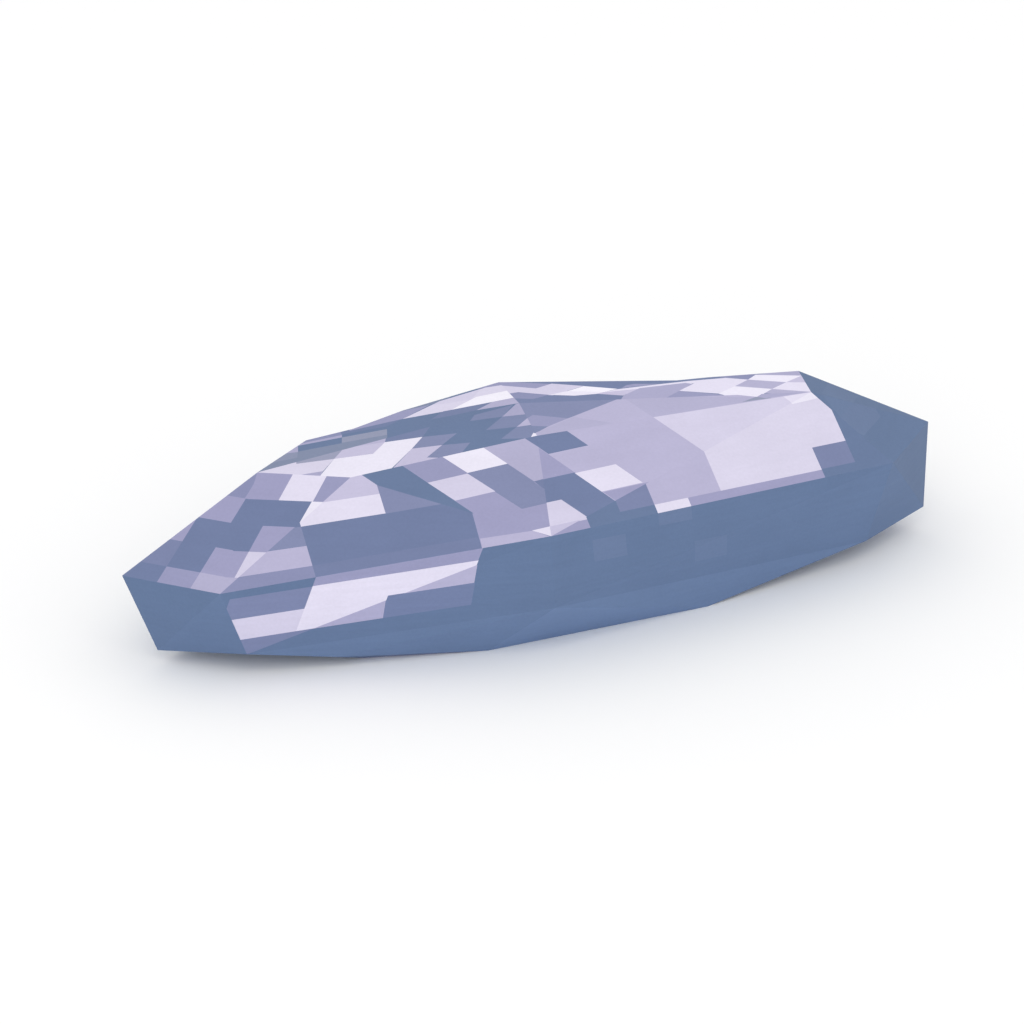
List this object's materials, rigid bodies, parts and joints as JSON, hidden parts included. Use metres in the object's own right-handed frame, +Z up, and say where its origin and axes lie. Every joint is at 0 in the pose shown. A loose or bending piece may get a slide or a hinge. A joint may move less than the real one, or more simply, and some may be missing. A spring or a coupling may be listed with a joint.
{
  "type": "mica crystal",
  "caption": "Loose tabular mica crystal, a thick lens-shaped plate with flat faces and pearly lilac and slate-blue patches, lying on its flat underside.",
  "frame": {"origin": "centre of the bounding box, on the surface that the crystal rests on", "axes": "+X along the crystal towards the end that is cut steeply, +Z up, -Y towards the broad sloping faces"},
  "size_m": [0.1145, 0.0472, 0.024],
  "materials": {
    "mica": "pearly satin"
  },
  "bodies": {
    "root": {"mica_crystal": "mica"}
  },
  "joints": []
}
